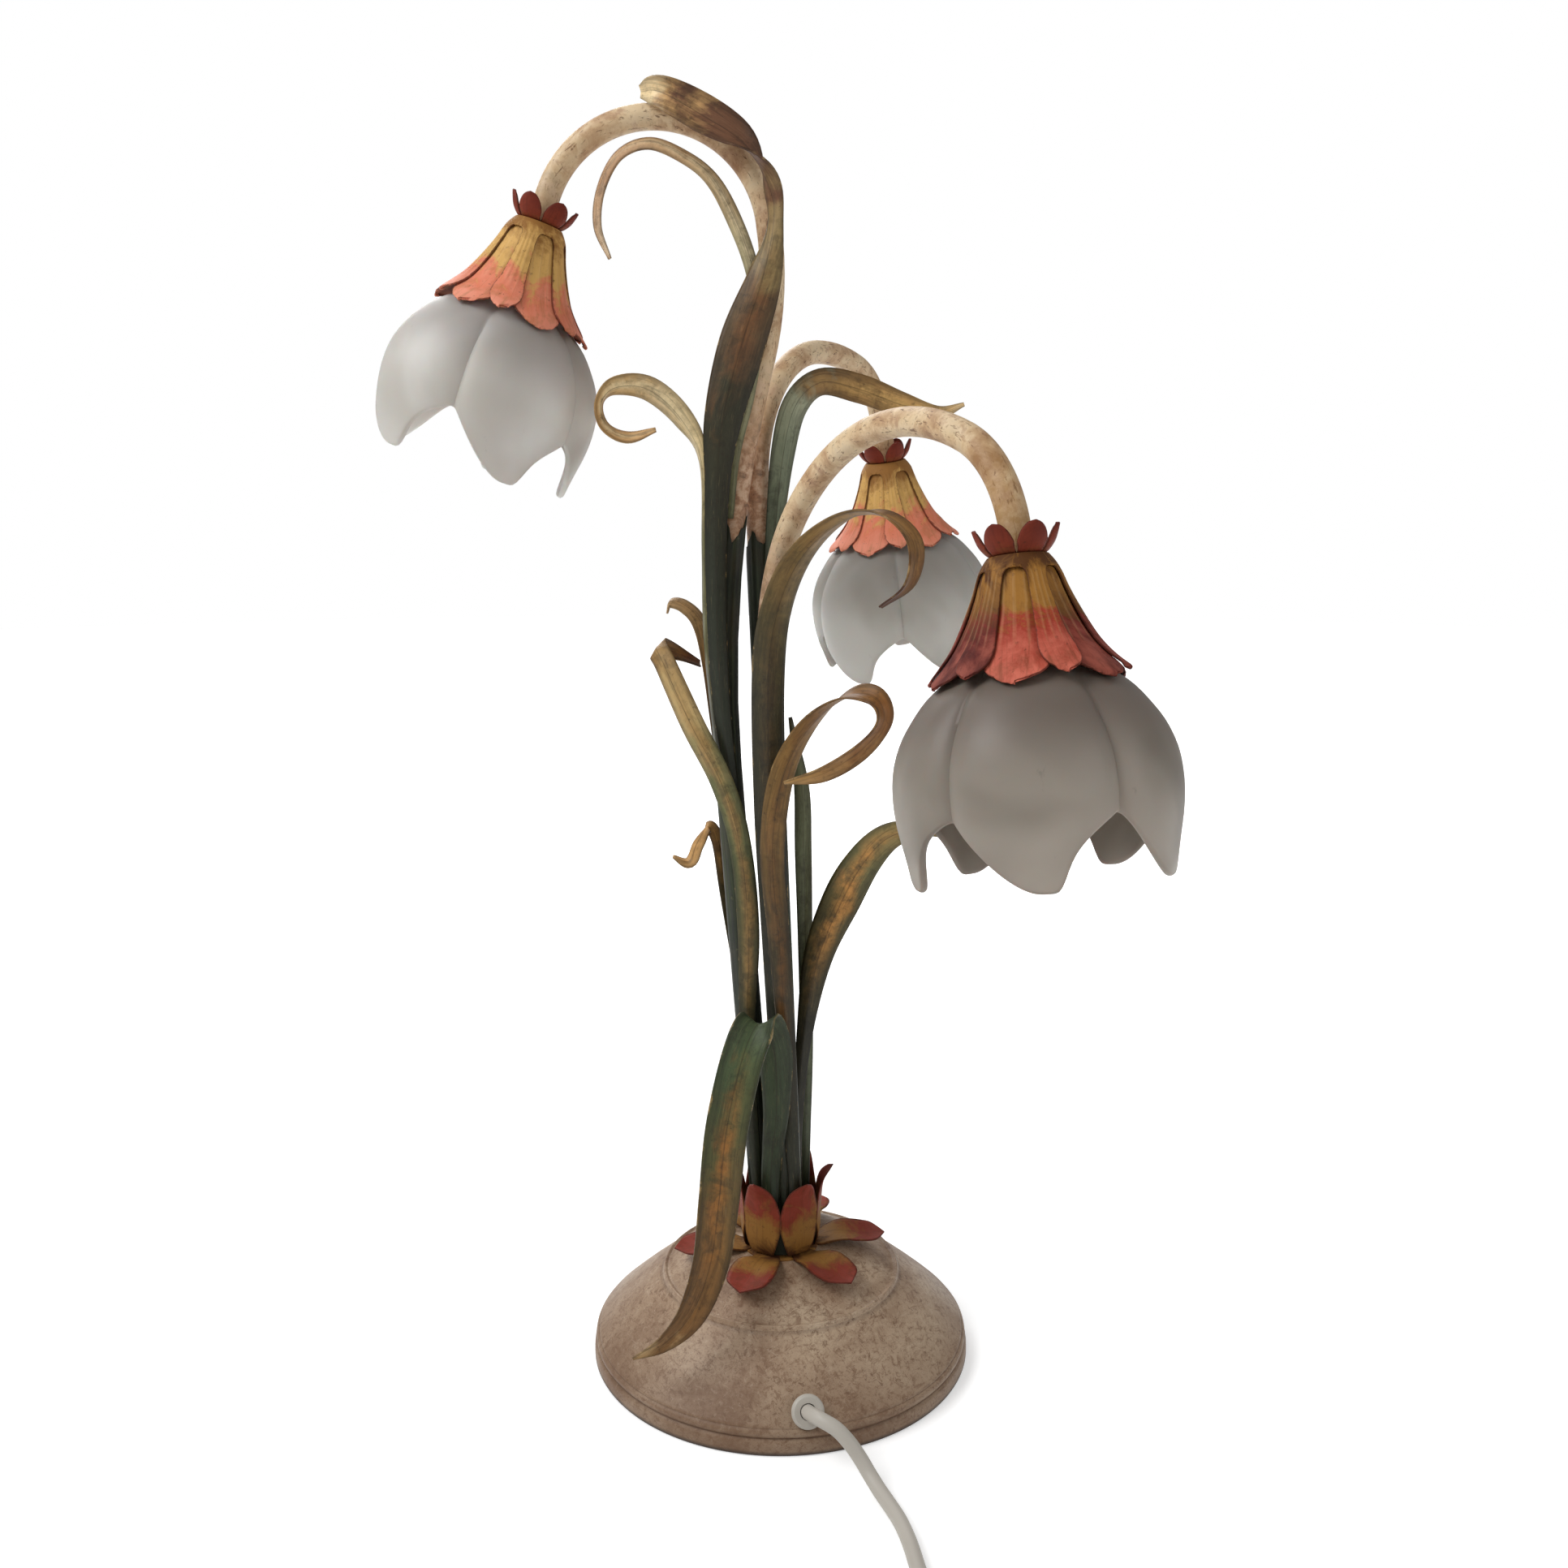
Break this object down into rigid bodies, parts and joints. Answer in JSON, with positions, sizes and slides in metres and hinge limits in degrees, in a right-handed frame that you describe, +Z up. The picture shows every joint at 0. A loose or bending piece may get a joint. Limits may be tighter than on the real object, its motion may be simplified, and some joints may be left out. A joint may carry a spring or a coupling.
{
  "type": "table lamp",
  "caption": "Table lamp with drooping tulip flowers of painted sheet metal and frosted glass shades on bent tubes wrapped in curled leaves, on a weighted domed base.",
  "frame": {"origin": "centre of the round base where it stands on the table", "axes": "+Z up; -Y towards the side that the cord leaves the base on, which the picture shows as the front; +X to the right seen from there"},
  "size_m": [0.3434, 0.5006, 0.6368],
  "materials": {
    "base_paint": "taupe paint with a brown brushed patina",
    "cast_iron": "bare cast ballast",
    "felt": "dark green felt",
    "brass": "plain threaded tube",
    "plated_steel": "zinc or nickel plated",
    "cord_plastic": "white soft plastic",
    "block_plastic": "pale hard plastic",
    "switch_plastic": "white hard plastic",
    "green_paint": "dark green streaked paint",
    "floret_paint": "ochre paint shaded to red at the tips",
    "cream_paint": "cream paint with a mottled brown patina",
    "leaf_paint": "green paint shaded to rust and gold",
    "calyx_paint": "maroon paint",
    "bell_paint": "ochre paint shaded to coral pink",
    "holder_plastic": "ivory hard plastic",
    "frosted_glass": "acid-frosted, white",
    "bulb_glass": "opal bulb with a metal cap"
  },
  "bodies": {
    "lamp": {"base_dome": "base_paint", "base_weight": "cast_iron", "felt_pad": "felt", "hub_nipple": "brass", "base_nuts": "plated_steel", "cord_grommet": "cord_plastic", "cord_tail": "cord_plastic", "terminal_block": "block_plastic", "stem_hub": "green_paint", "floret_flat": "floret_paint", "floret_upright": "floret_paint", "stem_tall": "cream_paint", "stem_back": "cream_paint", "stem_front": "cream_paint", "sheath_tall": "green_paint", "sheath_back": "green_paint", "sheath_front": "green_paint", "leaf_wrap": "leaf_paint", "leaf_arch_curl": "leaf_paint", "leaf_left_curl": "leaf_paint", "leaf_right_upper": "leaf_paint", "leaf_front_right": "leaf_paint", "leaf_loop": "leaf_paint", "leaf_left_bent": "leaf_paint", "leaf_back_tip": "leaf_paint", "leaf_side_curl": "leaf_paint", "leaf_right_lower": "leaf_paint", "leaf_foot": "leaf_paint", "leaf_back_right": "leaf_paint", "tall_calyx": "calyx_paint", "tall_bell_outer": "bell_paint", "tall_bell_inner": "bell_paint", "tall_nipple": "brass", "tall_holder": "holder_plastic", "tall_shade_ring": "holder_plastic", "tall_shade": "frosted_glass", "tall_bulb": "bulb_glass", "back_calyx": "calyx_paint", "back_bell_outer": "bell_paint", "back_bell_inner": "bell_paint", "back_nipple": "brass", "back_holder": "holder_plastic", "back_shade_ring": "holder_plastic", "back_shade": "frosted_glass", "back_bulb": "bulb_glass", "front_calyx": "calyx_paint", "front_bell_outer": "bell_paint", "front_bell_inner": "bell_paint", "front_nipple": "brass", "front_holder": "holder_plastic", "front_shade_ring": "holder_plastic", "front_shade": "frosted_glass", "front_bulb": "bulb_glass", "cord_run": "cord_plastic", "switch_housing": "switch_plastic", "cord_coil": "cord_plastic", "plug_body": "cord_plastic", "plug_pins": "plated_steel"},
    "rocker": {"switch_rocker": "switch_plastic"}
  },
  "joints": [
    {"name": "rocker_tilt", "type": "hinge", "parent": "lamp", "child": "rocker", "pos_m": [0.06, -0.23, 0.012], "axis": [1, 0, 0], "range_deg": [-16, 0]}
  ]
}
